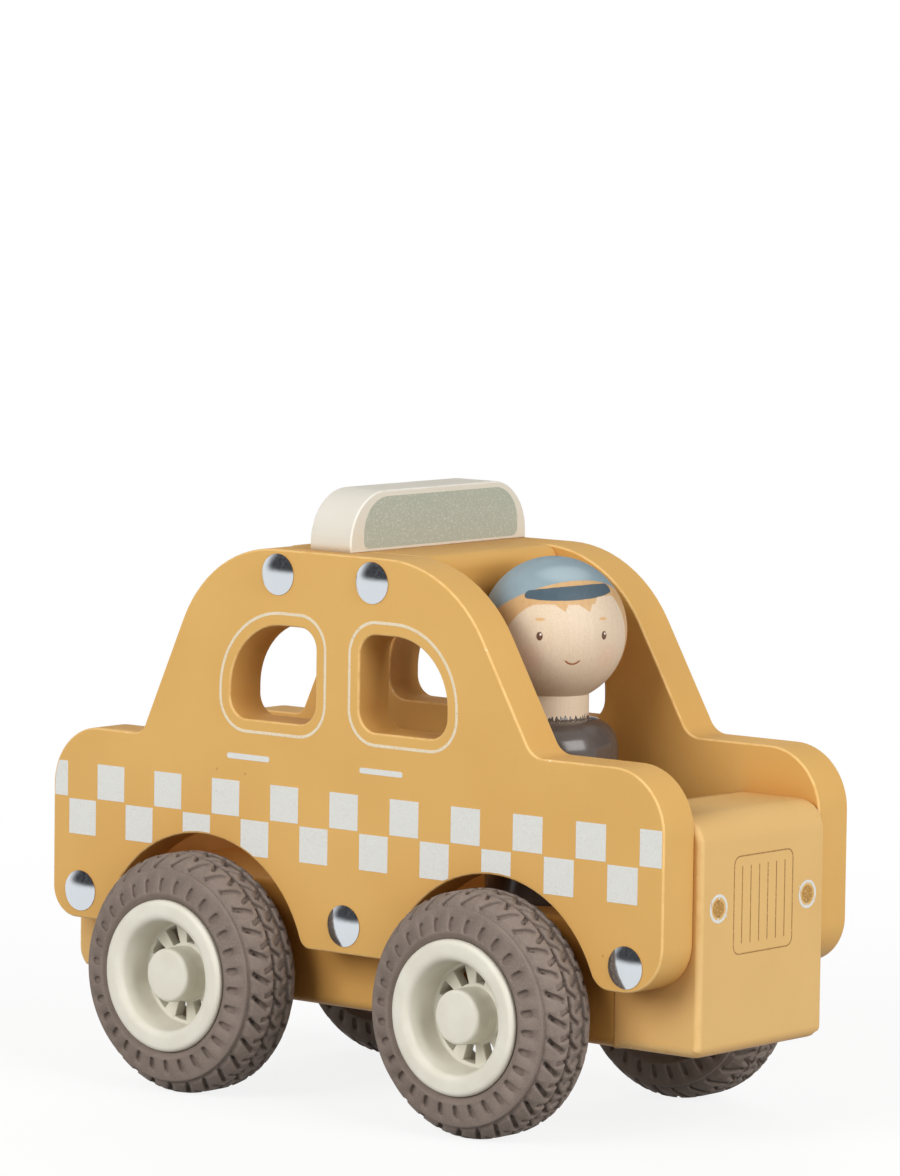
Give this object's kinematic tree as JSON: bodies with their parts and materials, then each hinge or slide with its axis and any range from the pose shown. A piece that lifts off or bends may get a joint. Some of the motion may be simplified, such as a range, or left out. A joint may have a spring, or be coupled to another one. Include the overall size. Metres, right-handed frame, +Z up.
{
  "type": "toy taxi",
  "caption": "Wooden push-along toy taxi with rolling rubber-tyred wheels, a checker band, a roof sign and a lift-out peg driver.",
  "frame": {"origin": "bottom centre of the toy's box, on the surface that the wheels stand on", "axes": "+X forward along the toy's length, +Y to its left, +Z up"},
  "size_m": [0.1696, 0.0868, 0.1287],
  "materials": {
    "painted_wood": "satin mustard paint on board",
    "cream_wood": "satin cream paint",
    "bare_wood": "bare beech",
    "driver_wood": "turned wood, partly painted, matt lacquer",
    "rivet_metal": "bright zinc plated steel",
    "axle_steel": "drawn steel",
    "rim_plastic": "satin cream plastic",
    "tyre_rubber": "matt taupe rubber"
  },
  "bodies": {
    "body": {"base_block": "painted_wood", "boot_block": "painted_wood", "bonnet_block": "painted_wood", "right_side_panel": "painted_wood", "left_side_panel": "painted_wood", "roof_plank": "painted_wood", "roof_sign": "cream_wood", "sign_dowels": "bare_wood", "right_rivets": "rivet_metal", "left_rivets": "rivet_metal"},
    "front_wheels": {"front_axle": "axle_steel", "front_right_rim": "rim_plastic", "front_right_tyre": "tyre_rubber", "front_right_hub_cap": "rim_plastic", "front_left_rim": "rim_plastic", "front_left_tyre": "tyre_rubber", "front_left_hub_cap": "rim_plastic"},
    "rear_wheels": {"rear_axle": "axle_steel", "rear_right_rim": "rim_plastic", "rear_right_tyre": "tyre_rubber", "rear_right_hub_cap": "rim_plastic", "rear_left_rim": "rim_plastic", "rear_left_tyre": "tyre_rubber", "rear_left_hub_cap": "rim_plastic"},
    "driver": {"driver": "driver_wood"}
  },
  "joints": [
    {"name": "front_axle_spin", "type": "hinge", "parent": "body", "child": "front_wheels", "pos_m": [0.03885, 0, 0.0254], "axis": [0, 1, 0], "continuous": true},
    {"name": "rear_axle_spin", "type": "hinge", "parent": "body", "child": "rear_wheels", "pos_m": [-0.04015, 0, 0.0254], "axis": [0, 1, 0], "continuous": true},
    {"name": "driver_lift", "type": "slide", "parent": "body", "child": "driver", "axis": [0, 0, 1], "range_m": [0, 0.1]}
  ]
}
